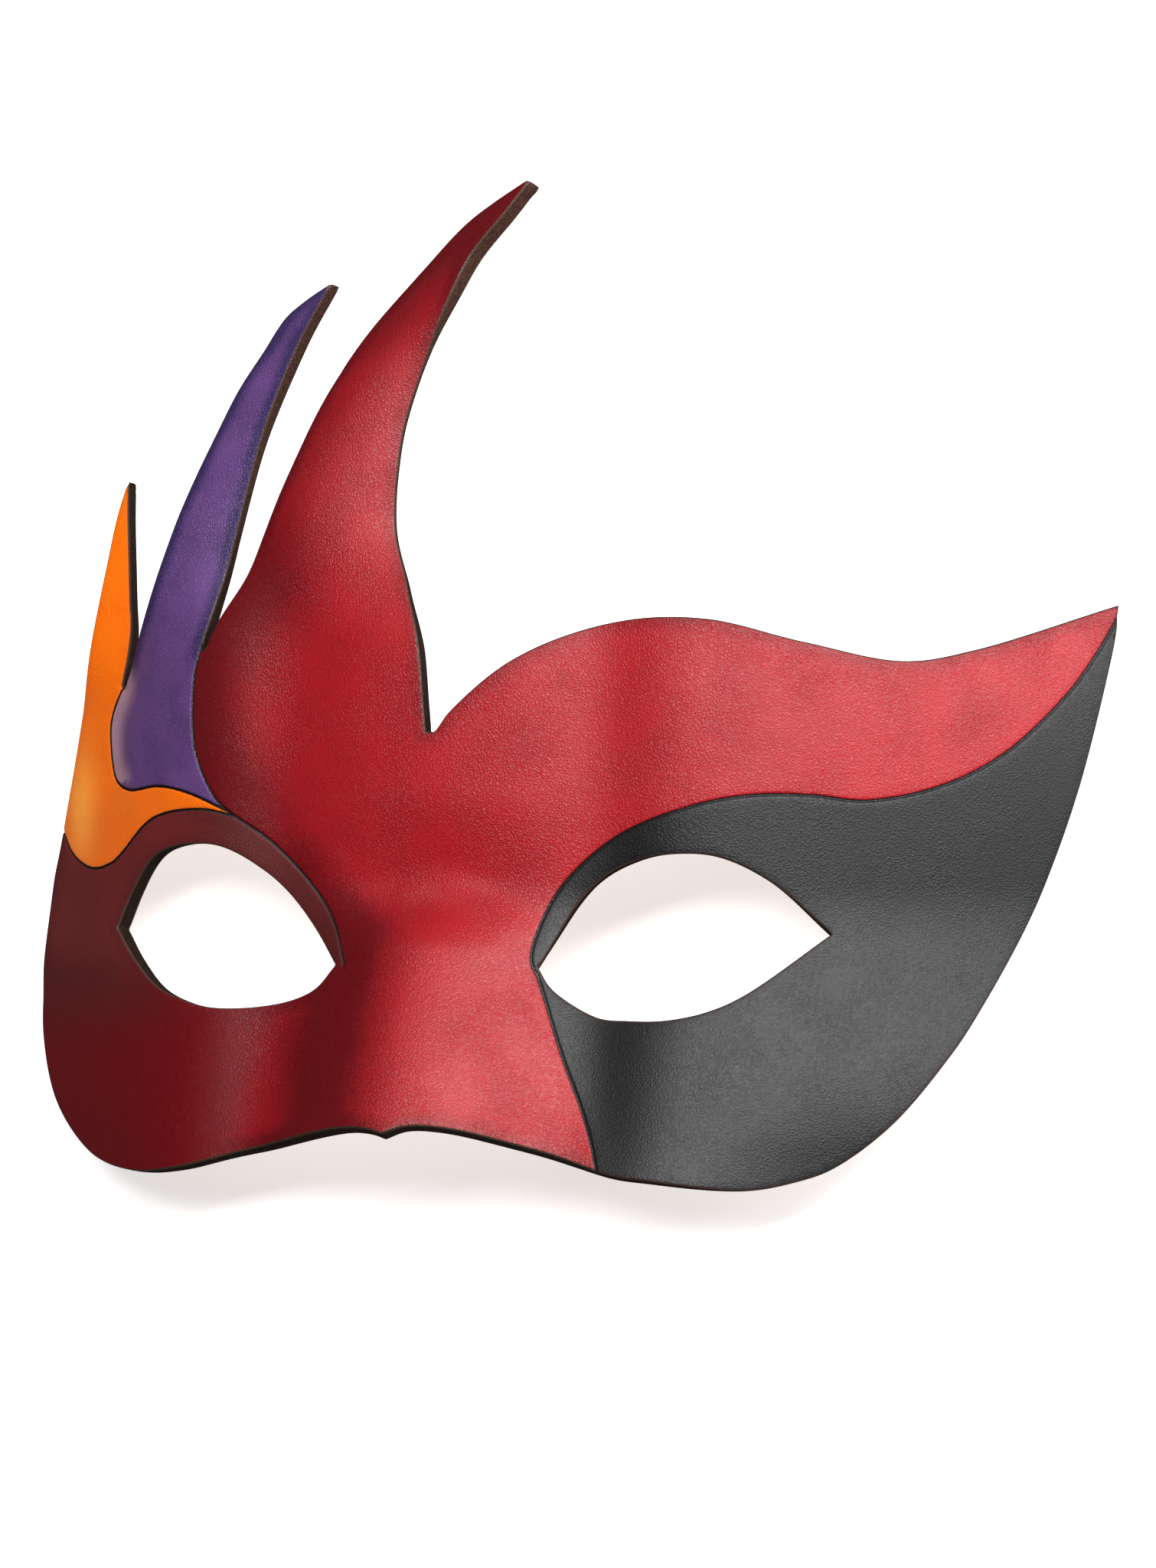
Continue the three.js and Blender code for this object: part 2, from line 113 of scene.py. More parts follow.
# the two cuts between the horns, as height and X from the bottom up
OUTER_CUT = [(30, -67.7), (42, -66.4), (48, -63.9), (56, -60.9), (70, -59), (82, -57)]
INNER_CUT = [(50, -46.6), (57, -43.4), (75, -38), (90, -31.5), (114, -20)]


def soft(t, width):
    """Nothing below zero, a straight slope above it, and no corner between."""
    return width * np.logaddexp(0, t / width)


def ease(t):
    u = np.clip(t, 0, 1)
    return u * u * (3 - 2 * u)


def cut_at(rows, height):
    """The X of a cut between two horns at a height."""
    return np.interp(height, [row[0] for row in rows], [row[1] for row in rows])


def horn_depth(horn, x, y):
    u = np.clip((y - horn["foot"]) / (horn["tip"] - horn["foot"]), SHARE_LEAST, SHARE_MOST)
    start, slope, bend = horn["middle"]
    middle = start + slope * u + bend * u * u
    wide, narrow = horn["half"]
    half = np.maximum(wide + (narrow - wide) * np.sign(u) * np.abs(u) ** horn["taper"], HALF_LEAST)
    crest = middle + (2 * horn["crest_at"] - 1) * half
    near = x < crest
    reach = np.where(near, 2 * horn["crest_at"] * half, 2 * (1 - horn["crest_at"]) * half)
    across = np.minimum(np.abs(x - crest) / reach, ACROSS_MOST)
    twisted = ease((u - horn["twist_from"]) / TWIST_SPAN)
    bow = horn["bow"] * np.where(near, 1, horn["far_bow"]) * across ** 2 * half / wide
    bow = bow * (1 - (1 - TWISTED_BOW) * twisted)
    return horn["depth"] - horn["lean"] * (y - horn["foot"]) - bow + horn["twist"] * twisted * (x - middle)


def face_depth(x, y):
    out = np.sqrt(x * x + 1)
    temple = TEMPLE_SLOPE * soft(out - CHEEKBONE_X, CHEEKBONE_SOFT)
    temple = temple + TEMPLE_CURVE * soft(out - TEMPLE_CURVE_X, TEMPLE_CURVE_SOFT) ** 2
    socket = SOCKET_DEPTH * np.exp(-(((out - SOCKET_X) / SOCKET_WIDTH) ** 2))
    cheek = CHEEK_RISE * ease((CHEEK_TOP - y) / CHEEK_DROP)
    flare = FLARE_SLOPE * soft(FLARE_Y - y, FLARE_SOFT) * (1 - ease((out - FLARE_FULL_X) / FLARE_FADE))
    nose_width = NOSE_HALF_WIDTH + NOSE_WIDENING * soft(NOSE_WIDENS_Y - y, NOSE_WIDENING_SOFT)
    off_crest = np.sqrt(x * x + NOSE_CREST_RADIUS ** 2) - NOSE_CREST_RADIUS
    step = NOSE_STEP * ease((NOSE_TOP - y) / NOSE_STEP_HEIGHT)
    ramp = (1 - NOSE_STEP) * soft(NOSE_TOP - y, NOSE_TOP_SOFT) / (NOSE_TOP - NOSE_FULL)
    nose = NOSE_RISE * (step + ramp) * soft(1 - off_crest / nose_width, NOSE_FOOT_SOFT)
    brow = BROW_RISE * np.exp(-((out / BROW_HALF_WIDTH) ** 2)) * ease((y - BROW_Y) / BROW_FADE)
    lean = LEAN_SLOPE * soft(y - LEAN_Y, LEAN_SOFT)
    sweep = SWEEP * (np.maximum(y - SWEEP_Y, 0) / SWEEP_HEIGHT) ** 2 * ease((x - SWEEP_X) / SWEEP_WIDTH)
    from_cut = x - cut_at(OUTER_CUT, y)
    channel_half = np.where(from_cut > 0, CHANNEL_RIGHT, CHANNEL_LEFT)
    channel = CHANNEL_DEPTH * np.exp(-((from_cut / channel_half) ** 2))
    channel = channel * ease((y - CHANNEL_FOOT_Y) / CHANNEL_FADE)
    channel = channel * (1 - ease((y - CHANNEL_HEAD_Y) / CHANNEL_FADE))
    return nose + brow + cheek + flare - temple - socket - lean - sweep - channel


def region_of(x, y):
    """0 for the red face and horn, 1 for the purple horn, 2 for the orange one, 3 for the wing."""
    left = np.where(x < cut_at(OUTER_CUT, y), 2, np.where(x < cut_at(INNER_CUT, y), 1, 0))
    return np.where(x > WING_ROOT_X, 3, left)


def leaving(horn, y):
    """How far a horn has parted from the face at a height, from 0 to 1."""
    start, end = horn["leaves"]
    return ease((y - start) / (end - start))


def depth(x, y, region):
    """The front of the hide: each horn parts from the face above its own foot."""
    face = face_depth(x, y)
    parts = [leaving(horn, y) for horn in (RED_HORN, PURPLE_HORN, ORANGE_HORN)]
    parts.append(parts[0] * ease((y - WING_ROOT_Y) / WING_ROOT_FADE) * (x <= WING_ROOT_END_X))
    red, purple, orange = (horn_depth(horn, x, y) for horn in (RED_HORN, PURPLE_HORN, ORANGE_HORN))
    part = np.choose(region, parts)
    return face * (1 - part) + np.choose(region, [red, purple, orange, red]) * part


print("nose crest at the lower edge stands %.1f mm forward" % face_depth(0.0, -26.0))

# %% [markdown]
# The pattern: the cut edge as smooth runs between corners, and the incised lines that part the dyes.
# A curve object would do for a flat shape, but the pattern has to be filled with even triangles
# before it is lifted onto the face, so the curves are sampled here by their own formula.

# %% The cut edges, in millimetres
RED_HORN_RIGHT = [(12.9, 129.4), (9, 124.5), (3, 117.7), (-0.1, 111.6), (-7.8, 92.9), (-9.7, 83.7),
                  (-9.9, 72.1), (-6.4, 62.6), (-3, 53.9), (-1.5, 42.5), (-1.1, 38.4)]
WING_TOP = [(-1.1, 38.4), (0.3, 38.3), (3, 41.5), (13.8, 50.1), (29.2, 56), (46.1, 56.7), (61.2, 52.9),
            (75.5, 49.8), (85.1, 51.7), (103.7, 59.2)]
RIGHT_RIM = [(103.7, 59.2), (103.6, 53.4), (100, 31.2), (95.1, 13.5), (87.8, -6), (84.1, -14),
             (76.7, -25.2), (68.5, -32.3), (63.6, -34.3), (56.6, -35.6), (41.5, -34.1), (34.1, -33.1),
             (23.4, -29.5), (11, -26), (4.3, -25.5), (0.3, -26.7)]
LEFT_RIM = [(0.3, -26.7), (-2.6, -26.1), (-8.3, -26.1), (-29.7, -30.5), (-44.3, -34), (-55.3, -35),
            (-66.5, -32.8), (-76.7, -24.8), (-83.1, -13.3), (-84.8, -6.8), (-86.1, -0.3), (-85, 11.7),
            (-82.1, 20.3), (-75.9, 42.1), (-71.4, 65.8), (-69.6, 75.4), (-68.1, 80.6)]
ORANGE_TIP = [(-68.1, 80.6), (-67.5, 81.6)]
ORANGE_RIGHT = [(-67.5, 81.6), (-67.1, 75), (-66.4, 67), (-65.8, 60.4), (-65.2, 56), (-65.2, 51),
                (-65.9, 46)]
PURPLE_LEFT = [(-65.9, 46), (-65.2, 46.1), (-63.2, 49.8), (-61.6, 53.9), (-58, 62.8), (-53.2, 76.1),
               (-46.7, 89.7), (-43.1, 96.5), (-38.7, 102.6), (-34.4, 108.5), (-30.8, 111.1),
               (-25.9, 113.8)]
PURPLE_TIP = [(-25.9, 113.8), (-25.3, 113.8)]
PURPLE_RIGHT = [(-25.3, 113.8), (-30.8, 104.3), (-36.9, 89.5), (-41.8, 71), (-43.4, 63.9), (-45.9, 52.4)]
RED_HORN_LEFT = [(-45.9, 52.4), (-45.2, 52.1), (-42.3, 57.2), (-37.1, 64.8), (-34.4, 71.3),
                 (-31.9, 77.9), (-29.2, 84.2), (-24.8, 93.8), (-17.2, 105.9), (-6.3, 117.5),
                 (0.7, 123.6), (12.1, 129.6)]
RED_TIP = [(12.1, 129.6), (12.9, 129.4)]
OUTLINE = [RED_HORN_RIGHT, WING_TOP, RIGHT_RIM, LEFT_RIM, ORANGE_TIP, ORANGE_RIGHT, PURPLE_LEFT,
           PURPLE_TIP, PURPLE_RIGHT, RED_HORN_LEFT, RED_TIP]
RIGHT_EYE = [
    [(19.6, -0.2), (24.4, 9.9), (29.1, 14.6), (35, 17.3), (41.5, 18.4), (48.6, 17.9), (56.2, 14.2),
     (65.8, 5.4)],
    [(65.8, 5.4), (53.7, -4.4), (48.4, -7), (42.1, -8.4), (35.4, -8.6), (29.4, -8.1), (22.2, -3.8),
     (19.6, -0.2)],
]
LEFT_EYE = [
    [(-16.7, -0.1), (-22.2, 5.2), (-32.3, 14.7), (-41, 19.2), (-49.3, 19.5), (-56.2, 17.4),
     (-61.7, 11.4), (-65.2, 5.3)],
    [(-65.2, 5.3), (-60.3, 0.6), (-53.6, -4.1), (-46.3, -6.5), (-40.6, -7.5), (-31.9, -7.2),
     (-24.4, -5.6), (-20.2, -3.7), (-16.7, -0.1)],
]

# The incised lines. The black one sweeps from the wing's point over the eye and down the cheek.
BLACK_LINE = [(104.2, 58.6), (101.7, 52.1), (97.4, 44.1), (89.2, 34.5), (80.6, 29.3), (70.4, 27),
              (62.5, 27.9), (53.8, 27.9), (44.8, 26.2), (30.5, 20.6), (21, 11.7), (18.6, 4.9),
              (18.5, 0.7), (19.7, -1.6), (21.1, -5), (24.9, -14.4), (30.9, -27.5), (33.2, -34)]
PURPLE_LINE = [(-45.7, 53.2), (-47, 46.6), (-46.4, 35.1), (-42.3, 27.5), (-39.8, 25.3)]
LID_LINE = [(-39.8, 25.3), (-31.9, 20.3), (-23.2, 12.2), (-17.5, 5.4), (-14.8, 0.6)]
ORANGE_LINE = [(-65.6, 46.3), (-68.1, 41.4), (-68.6, 38.1), (-67, 30.8), (-62.9, 28.8), (-55, 29.4),
               (-48.1, 28.3), (-39.8, 25.3)]
DROP_LINE = [(-82.6, 22.4), (-81.4, 21.3), (-78.4, 17.6), (-72.9, 15.3), (-67.2, 16.3), (-64.5, 18),
             (-56.5, 23.9), (-45.1, 25.5), (-38.5, 24.4)]
# A soft fold in the hide runs over the root of the nose, from the left brow to the right eye.
NOSE_FOLD = [(-8.3, 9.1), (-4.7, 12.2), (1.3, 13.2), (7.3, 11.4), (12.8, 7.6), (17, 3)]


def smooth_run(points, step):
    """A centripetal curve through the points, sampled at about every step."""
    p = np.array(points, float)
    if len(p) == 2:
        return p
    p = np.vstack([2 * p[0] - p[1], p, 2 * p[-1] - p[-2]])
    samples = []
    for a, b, c, d in zip(p[:-3], p[1:-2], p[2:-1], p[3:]):
        ta, tb = 0.0, math.sqrt(np.hypot(*(b - a)))
        tc = tb + math.sqrt(np.hypot(*(c - b)))
        td = tc + math.sqrt(np.hypot(*(d - c)))
        count = max(1, round(float(np.hypot(*(c - b))) / step))
        for t in np.linspace(tb, tc, count, endpoint=False):
            ab = ((tb - t) * a + (t - ta) * b) / (tb - ta)
            bc = ((tc - t) * b + (t - tb) * c) / (tc - tb)
            cd = ((td - t) * c + (t - tc) * d) / (td - tc)
            abc = ((tc - t) * ab + (t - ta) * bc) / (tc - ta)
            bcd = ((td - t) * bc + (t - tb) * cd) / (td - tb)
            samples.append(((tc - t) * abc + (t - tb) * bcd) / (tc - tb))
    samples.append(p[-2])
    return np.array(samples)


def closed_loop(runs, step):
    return np.vstack([smooth_run(run, step)[:-1] for run in runs])


EDGE_STEP = 0.8
LINE_STEP = 0.6
edge_loops = [closed_loop(runs, EDGE_STEP) for runs in (OUTLINE, RIGHT_EYE, LEFT_EYE)]
LINES = [BLACK_LINE, PURPLE_LINE + LID_LINE[1:], ORANGE_LINE, DROP_LINE]
incised = [smooth_run(line, LINE_STEP) for line in LINES]
print("cut edge points:", [len(loop) for loop in edge_loops])
print("line points:", [len(line) for line in incised])

# %% [markdown]
# Filling the pattern. A grid cut off at the edge leaves steps, and a fan of long triangles catches
# the light badly, so the fill is a Delaunay triangulation of chosen points: the cut edges with rows
# just inside them for the rounding, the incised lines with rows on both sides for the grooves, and an
# even field between. Blender's own constrained triangulation keeps every edge and line as drawn.

# %% Fill the pattern
EDGE_ROUND = 0.36
EDGE_ROWS = (0.1, 0.22, 0.36)
GROOVE_ROWS = (0.14, 0.3, 0.6)
FIELD_STEP = 1.15
FIELD_X, FIELD_Y = (-90, 106), (-38, 131)
# a row's point is dropped where another edge is nearer than this share of the row's own distance
ROW_CLEAR = 0.85
LINE_END_CLEAR = 0.12
SAME_POINT = 1e-4


def inside(loop, p):
    """Which points lie inside a closed loop."""
    x, y = p[:, 0], p[:, 1]
    result = np.zeros(len(p), bool)
    for (ax, ay), (bx, by) in zip(loop, np.roll(loop, -1, axis=0)):
        if ay != by:
            crosses = ((ay > y) != (by > y)) & (x < ax + (bx - ax) * (y - ay) / (by - ay))
            result ^= crosses
    return result


def in_hide(p):
    return inside(edge_loops[0], p) & ~inside(edge_loops[1], p) & ~inside(edge_loops[2], p)


def distance_to(chains, p):
    """Each point's distance to the nearest of several chains of segments."""
    best = np.full(len(p), 1e9)
    for chain in chains:
        for a, b in zip(chain[:-1], chain[1:]):
            span = b - a
            length2 = float(span @ span)
            if length2 < 1e-12:
                continue
            t = np.clip(((p - a) @ span) / length2, 0, 1)
            away = p - a - t[:, None] * span
            best = np.minimum(best, (away * away).sum(axis=1))
    return np.sqrt(best)


def side_rows(chain, offsets, closed):
    """Rows of points beside a chain, on both sides."""
    if closed:
        along = np.roll(chain, -1, axis=0) - np.roll(chain, 1, axis=0)
    else:
        along = np.gradient(chain, axis=0)
    across = np.column_stack([-along[:, 1], along[:, 0]])
    across /= np.linalg.norm(across, axis=1)[:, None]
    return [chain + side * off * across for off in offsets for side in (-1, 1)]


edge_chains = [np.vstack([loop, loop[:1]]) for loop in edge_loops]
rows = []
for loop in edge_loops:
    for off, pair in zip(np.repeat(EDGE_ROWS, 2), side_rows(loop, EDGE_ROWS, True)):
        near = pair[in_hide(pair)]
        rows.append(near[distance_to(edge_chains, near) > ROW_CLEAR * off])
for line in incised:
    for off, pair in zip(np.repeat(GROOVE_ROWS, 2), side_rows(line, GROOVE_ROWS, False)):
        near = pair[in_hide(pair)]
        clear_of_lines = distance_to(incised, near) > ROW_CLEAR * off
        clear_of_edges = distance_to(edge_chains, near) > LINE_END_CLEAR
        rows.append(near[clear_of_lines & clear_of_edges])
row_points = np.vstack(rows)

xs = np.arange(*FIELD_X, FIELD_STEP)
ys = np.arange(*FIELD_Y, FIELD_STEP * math.sqrt(3) / 2)
field = np.array([(x + (i % 2) * FIELD_STEP / 2, y) for i, y in enumerate(ys) for x in xs])
field = field[in_hide(field)]
field = field[distance_to(edge_chains, field) > EDGE_ROWS[-1] + 0.5 * FIELD_STEP]
field = field[distance_to(incised, field) > GROOVE_ROWS[-1] + 0.5 * FIELD_STEP]

points, fixed = [], []
for chain, closed in [(loop, True) for loop in edge_loops] + [(line, False) for line in incised]:
    first = len(points)
    points += [Vector(p) for p in chain]
    ends = list(range(first, len(points)))
    fixed += list(zip(ends, ends[1:] + ends[:1])) if closed else list(zip(ends[:-1], ends[1:]))
points += [Vector(p) for p in np.vstack([row_points, field])]
flat, _, flat_faces, *_ = delaunay_2d_cdt(points, fixed, [], 0, SAME_POINT)
flat = np.array([tuple(p) for p in flat])
flat_faces = np.array([tuple(f) for f in flat_faces])
flat_faces = flat_faces[in_hide(flat[flat_faces].mean(axis=1))]
used, flat_faces = np.unique(flat_faces, return_inverse=True)
flat, flat_faces = flat[used], flat_faces.reshape(-1, 3)
print("pattern filled with", len(flat_faces), "triangles on", len(flat), "points")

# %% [markdown]
# Lifting the pattern. Wet leather keeps its thickness when it is pressed over a form, so the back is
# the front pushed in by the hide's thickness along its own normal, as a Solidify modifier would do.
# Solidify can't round a cut edge or bevel only the outline, so the rows near the edge are lowered
# along a quarter circle, front and back, and the knife lines are pressed in as small rounded valleys.
# A slight fold stands up over the root of the nose, and the cut walls swell a little in the middle.

# %% Lift the front, the back and the cut walls
GROOVE_DEPTH, GROOVE_HALF = 0.34, 0.2
WALL_ROWS = 3
WALL_BULGE = 0.07
FOLD_RISE, FOLD_HALF, FOLD_END = 0.4, 2, 5

edge_mm = distance_to(edge_chains, flat)
line_mm = distance_to(incised, flat)


def lift(xy, half=0.04):
    """The front's points and normals, from small steps in X and Y that stay on the same horn."""
    x, y = xy[:, 0], xy[:, 1]
    region = region_of(x, y)
    dx = (depth(x + half, y, region) - depth(x - half, y, region)) / (2 * half)
    dy = (depth(x, y + half, region) - depth(x, y - half, region)) / (2 * half)
    n = np.column_stack([-dx, -dy, np.ones(len(xy))])
    return np.column_stack([xy, depth(x, y, region)]), n / np.linalg.norm(n, axis=1)[:, None]


front, normals = lift(flat)
back = front - LEATHER * normals
inset = np.minimum(edge_mm, EDGE_ROUND)
rounding = EDGE_ROUND - np.sqrt(EDGE_ROUND ** 2 - (EDGE_ROUND - inset) ** 2)
groove = GROOVE_DEPTH * np.exp(-((line_mm / GROOVE_HALF) ** 2))
nose_fold = smooth_run(NOSE_FOLD, LINE_STEP)
to_end = np.minimum(*(np.hypot(*(flat - end).T) for end in (nose_fold[0], nose_fold[-1])))
fold = FOLD_RISE * np.exp(-((distance_to([nose_fold], flat) / FOLD_HALF) ** 2)) * ease(to_end / FOLD_END)
face_side = front - (rounding + groove - fold)[:, None] * normals
skin_side = back + rounding[:, None] * normals
count = len(flat)

first_corner, second_corner, third_corner = (flat[flat_faces[:, k]] for k in range(3))
up = np.cross(second_corner - first_corner, third_corner - first_corner) > 0
flat_faces = np.where(up[:, None], flat_faces, flat_faces[:, ::-1])
sides = np.vstack([flat_faces[:, [0, 1]], flat_faces[:, [1, 2]], flat_faces[:, [2, 0]]])
pairs = {tuple(side) for side in sides.tolist()}
rim = [(a, b) for a, b in sides.tolist() if (b, a) not in pairs]
next_on_rim = dict(rim)
rim_points = np.array(sorted(next_on_rim))
slot_of = {int(p): i for i, p in enumerate(rim_points)}
outward = np.zeros((count, 3))
for a, b in rim:
    side = face_side[b] - face_side[a]
    for p in (a, b):
        outward[p] += np.cross(side, normals[p])
outward = outward[rim_points] / np.linalg.norm(outward[rim_points], axis=1)[:, None]

verts = [face_side, skin_side]
wall_share = np.arange(1, WALL_ROWS + 1) / (WALL_ROWS + 1)
for share in wall_share:
    bulge = WALL_BULGE * math.sin(math.pi * share)
    across = face_side[rim_points] * (1 - share) + skin_side[rim_points] * share
    verts.append(across + bulge * outward)
verts = np.vstack(verts)

faces = [tuple(f) for f in flat_faces.tolist()]
faces += [(a + count, c + count, b + count) for a, b, c in flat_faces.tolist()]
front_count, skin_count = len(flat_faces), len(flat_faces)


def wall_index(point, row):
    if row == 0:
        return point
    if row == WALL_ROWS + 1:
        return point + count
    return 2 * count + (row - 1) * len(rim_points) + slot_of[point]


for a, b in rim:
    for row in range(WALL_ROWS + 1):
        corners = ((a, row), (a, row + 1), (b, row + 1), (b, row))
        faces.append(tuple(wall_index(*corner) for corner in corners))
print("hide:", len(verts), "points,", len(faces), "faces, rim of", len(rim), "sides")

# %% [markdown]
# Laying it down. The mask rests on its back, turned a little until three places touch: the left
# temple, the point of the wing and the rim below it. The construction sits in its box, centred and
# on the ground, so the same turn is made here and the box of the loaded frame gives the place.
# Points that would sink below the ground become the small flats where the hide is worn by what it
# lies on.

# %% Lay the mask down where the frame is
REST_PITCH, REST_ROLL, REST_FLAT = math.radians(14.1), math.radians(-1.67), 0.5
turn = np.array(Matrix.Rotation(REST_ROLL, 3, "Y") @ Matrix.Rotation(REST_PITCH, 3, "X"))
turned = np.vstack([front, back]) @ turn.T
low, high = turned.min(axis=0), turned.max(axis=0)
frame_low, frame_high = (np.array(corner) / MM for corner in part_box("leather_mask"))
offset = (frame_low + frame_high) / 2 - (low + high) / 2
offset[2] = -low[2] - REST_FLAT


def lay(points_on_face):
    """Face millimetres to metres in the frame."""
    return (np.asarray(points_on_face, float) @ turn.T + offset) * MM


lying = lay(verts)
lying[:, 2] = np.maximum(lying[:, 2], 0)
mesh = bpy.data.meshes.new("leather_mask_hide")
mesh.from_pydata(lying.tolist(), [], faces)
mesh.update()
hide = bpy.data.objects.new("dyed_leather_hide", mesh)
bpy.context.collection.objects.link(hide)
for polygon in mesh.polygons:
    polygon.use_smooth = True
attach(hide, "root")
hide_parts("leather_mask")
print("offset in mm:", [round(float(v), 3) for v in offset])

# %% [markdown]
# Which dye goes where. On the real mask each colour was brushed up to an incised line, so the lines
# are the borders. Painting a texture by hand would blur them, so each face of the mesh is given its
# dye by the side of the line on which its middle lies. The burgundy inside the lid line round the
# left eye is kept as a mask with one soft border: it fades out over the left temple and cheek as a
# painted shade, where they turn away from the light.

# %% Sort the faces by dye
black_line, purple_and_lid, orange_line, drop_line = incised
fork = int(np.argmin(np.hypot(*(purple_and_lid - PURPLE_LINE[-1]).T)))
# the cuts go on from the lines' upper ends, and the areas close well outside the hide
OUTER_CUT_Y, INNER_CUT_Y = 46, 54
outer_cut = np.array([(x, y) for y, x in OUTER_CUT if y > OUTER_CUT_Y])
inner_cut = np.array([(x, y) for y, x in INNER_CUT if y > INNER_CUT_Y])
BELOW, ABOVE, ABOVE_ORANGE, FAR_LEFT, FAR_RIGHT = -60, 140, 95, -110, 140
black_area = np.vstack([black_line, [(black_line[-1, 0], BELOW), (FAR_RIGHT, BELOW),
                                     (FAR_RIGHT, black_line[0, 1])]])
purple_area = np.vstack([orange_line, purple_and_lid[:fork][::-1], inner_cut,
                         [(inner_cut[-1, 0], ABOVE), (outer_cut[-1, 0], ABOVE)], outer_cut[::-1]])
orange_area = np.vstack([drop_line, orange_line[::-1], outer_cut,
                         [(outer_cut[-1, 0], ABOVE_ORANGE), (FAR_LEFT, ABOVE_ORANGE),
                          (FAR_LEFT, drop_line[0, 1])]])
middles = flat[flat_faces].mean(axis=1)
dye_of_face = np.zeros(front_count, int)
for slot, area in enumerate((orange_area, black_area, purple_area), start=1):
    dye_of_face[inside(area, middles) & (dye_of_face == 0)] = slot
DYES = ["red", "orange", "black", "purple"]
EDGE_SLOT, SKIN_SLOT = len(DYES), len(DYES) + 1
wall_count = len(faces) - front_count - skin_count
face_slots = np.concatenate([dye_of_face, np.full(skin_count, SKIN_SLOT), np.full(wall_count, EDGE_SLOT)])
mesh.polygons.foreach_set("material_index", face_slots.astype(np.int32))
print("faces by dye:", {dye: int((dye_of_face == i).sum()) for i, dye in enumerate(DYES)})

# %% [markdown]
# What the finishes need to know. The shader has no idea how far a point is from the cut edge or from
# a line, and guessing it from curvature fails on a form this gentle, so the distances measured while
# the mesh was built are stored on its points as attributes, and the node groups read them by name.

# %% Store distances and the burgundy and painted shade mask on the points
TEMPLE_SHADE_X, TEMPLE_SHADE_Y = (-34, -68), (-18, 0)


def between(value, ends):
    """0 at the first end, 1 at the second, eased in between."""
    return ease((value - ends[0]) / (ends[1] - ends[0]))


def on_all(values):
    """A value for the front's points, repeated for the back and carried over the cut walls."""
    return np.concatenate([values, values, np.tile(values[rim_points], WALL_ROWS)])


def store(name, values):
    layer = mesh.attributes.new(name, "FLOAT", "POINT")
    layer.data.foreach_set("value", np.asarray(values, np.float32))


LID_ROUND = [(-22, -4), (-44, -4), (-66, 5), (-72, 15)]
above_lid = drop_line[drop_line[:, 0] > LID_ROUND[-1][0]]
lid_area = np.vstack([purple_and_lid[fork:], LID_ROUND, above_lid])
in_lid = inside(lid_area, flat) & (flat[:, 1] > 0)
# outside the lid, the burgundy grows over the left temple and cheek as painted shade, where they turn away
# from the light
temple = between(flat[:, 0], TEMPLE_SHADE_X) * between(flat[:, 1], TEMPLE_SHADE_Y)
burgundy_and_shade = np.maximum(in_lid.astype(float), temple)
store("edge_mm", on_all(edge_mm))
store("line_mm", on_all(line_mm))
store("burgundy_and_shade", on_all(burgundy_and_shade))
print("burgundy points:", int((burgundy_and_shade > 0.5).sum()))

# %% [markdown]
# Painted light and hand work. A darker red is painted in as shade beside the purple horn, over
# the left cheek, down the nose's left flank, at the tall horn's tip and beside the lid, where the
# hide turns away from the light. Two light patches are painted highlights: on the purple beside
# the outer horn and on the orange above the drop. The brown gum wore thin on the edges of the two
# tall horns. Each is a soft mask over the pattern, made from distances and heights, and stored like
# the others, so that no hand-painted image is needed.

# %% Store the painted shade, worn edge and painted highlight masks
# where a darker red is painted in as shade, on the sides that turn away from the light
PURPLE_REACH, PURPLE_FOOT_Y, PURPLE_HEAD_Y = (20, 1), (20, 30), (62, 84)
CHEEK_X, CHEEK_Y = (-20, -42), (6, -8)
FLANK_X, FLANK_HALF, FLANK_Y = -15, 10, (15, 4)
TIP_Y = (100, 124)
LID_REACH = (10, 0.5)

horn_left = smooth_run(RED_HORN_LEFT, LINE_STEP)
beside_purple = between(distance_to([purple_and_lid[:fork], horn_left], flat), PURPLE_REACH)
beside_purple = beside_purple * between(flat[:, 1], PURPLE_FOOT_Y)
beside_purple = beside_purple * (1 - 0.6 * between(flat[:, 1], PURPLE_HEAD_Y))
cheek = between(flat[:, 0], CHEEK_X) * between(flat[:, 1], CHEEK_Y)
flank = np.exp(-(((flat[:, 0] - FLANK_X) / FLANK_HALF) ** 2)) * between(flat[:, 1], FLANK_Y)
tip = between(flat[:, 1], TIP_Y)
beside_lid = between(distance_to([purple_and_lid[fork:]], flat), LID_REACH)
# the painted shade masks are joined into one
unshaded = np.ones(count)
for shaded_part, share in ((beside_purple, 0.9), (cheek, 1), (flank, 1), (tip, 0.55), (beside_lid, 0.7)):
    unshaded = unshaded * (1 - share * shaded_part)
painted_shade = 1 - unshaded
store("painted_shade", on_all(painted_shade))

WORN_EDGE_X, WORN_EDGE_Y = (-66, -60), (58, 84)
worn_edge = between(flat[:, 1], WORN_EDGE_Y) * between(flat[:, 0], WORN_EDGE_X)
store("worn_edge", on_all(worn_edge))

